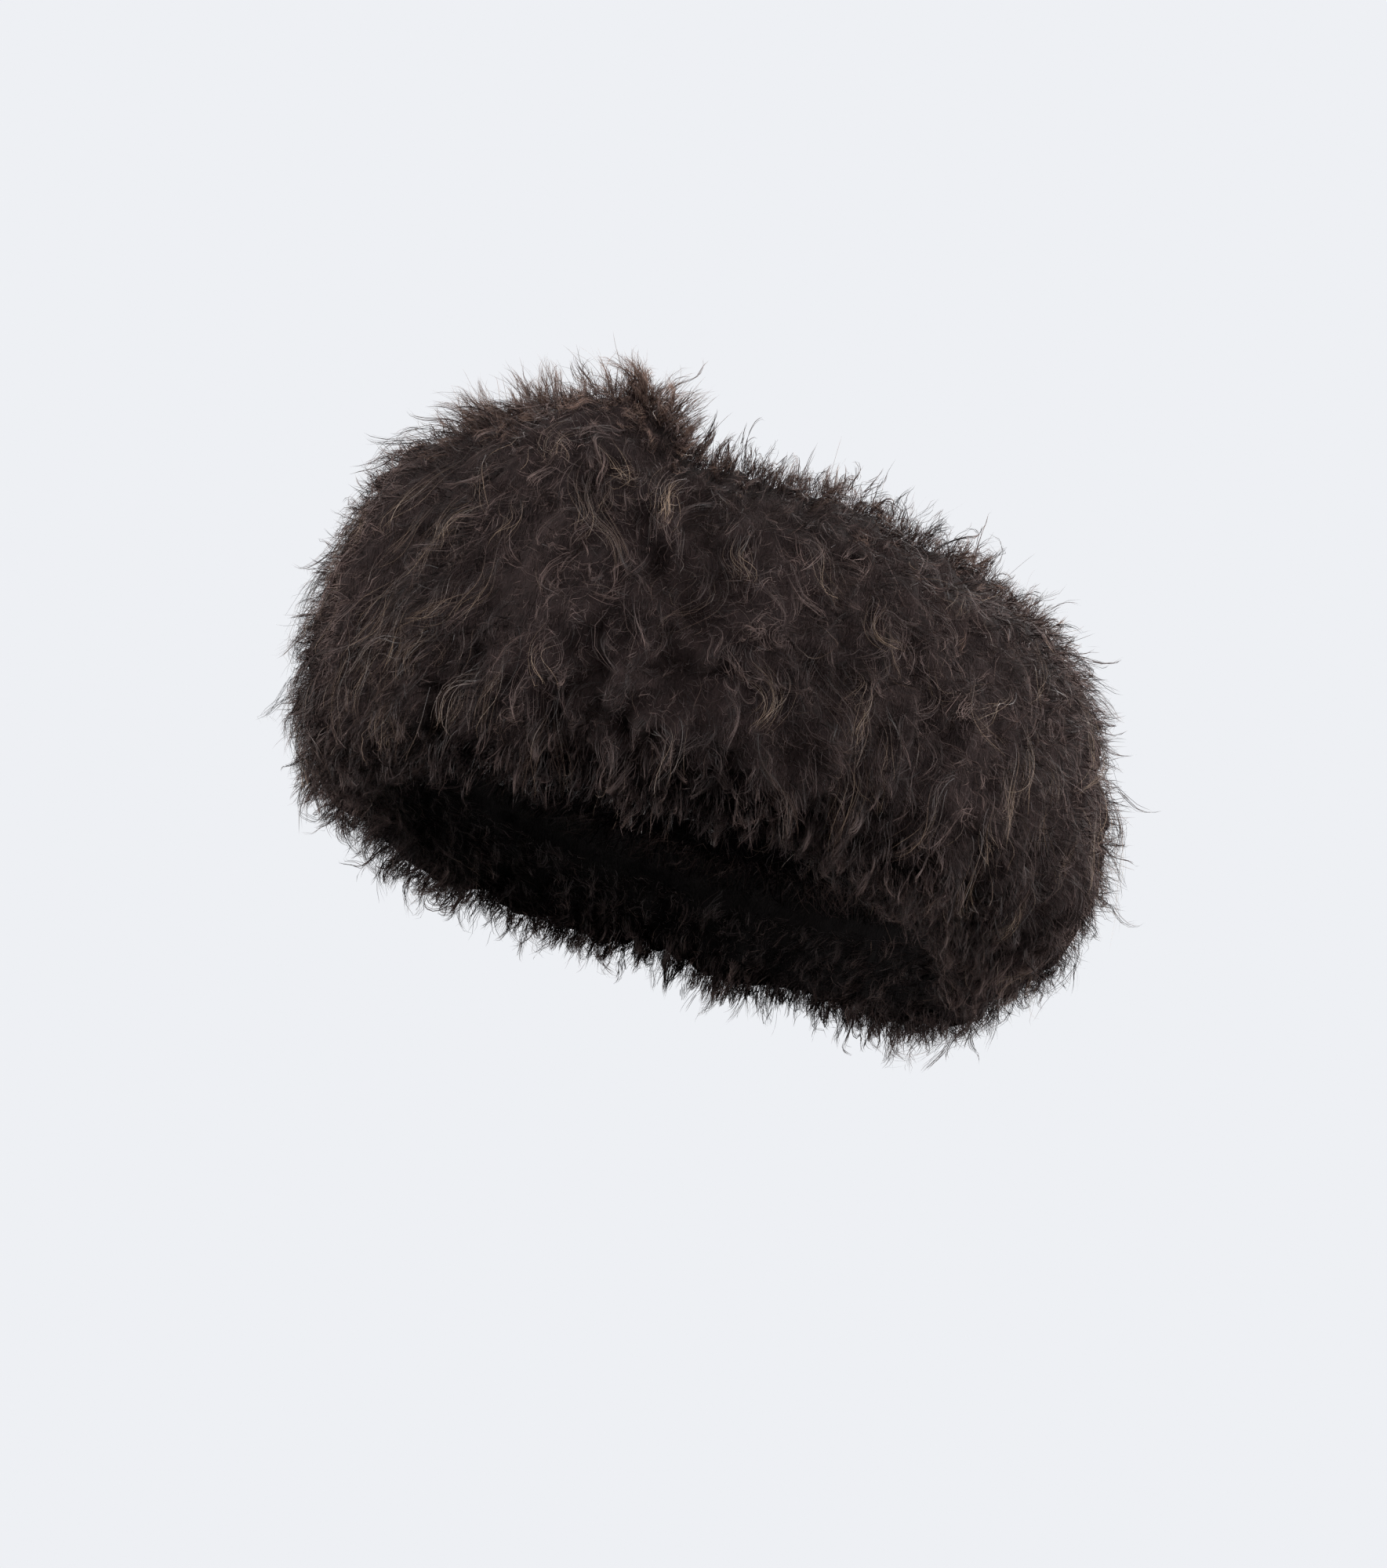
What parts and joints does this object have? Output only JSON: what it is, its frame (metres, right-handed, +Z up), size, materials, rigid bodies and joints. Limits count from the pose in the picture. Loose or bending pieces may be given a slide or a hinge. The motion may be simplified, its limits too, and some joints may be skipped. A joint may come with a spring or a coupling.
{
  "type": "shearling headband",
  "caption": "Wide sheepskin headband: a closed loop of suede hide with long shaggy wool over its outside and both rims, worn round the head for warmth.",
  "frame": {"origin": "middle of the head opening, half way up the hide, where the head sits", "axes": "+Z up along the wearer's head, front of the band towards -Y, wearer's left towards +X"},
  "size_m": [0.2314, 0.2622, 0.1257],
  "materials": {
    "hide": "napped suede, dark brown, matt",
    "wool": "long wavy undyed wool, dark grey-brown with lighter tips"
  },
  "bodies": {
    "root": {"hide_band": "hide", "wool_pile": "wool"}
  },
  "joints": []
}
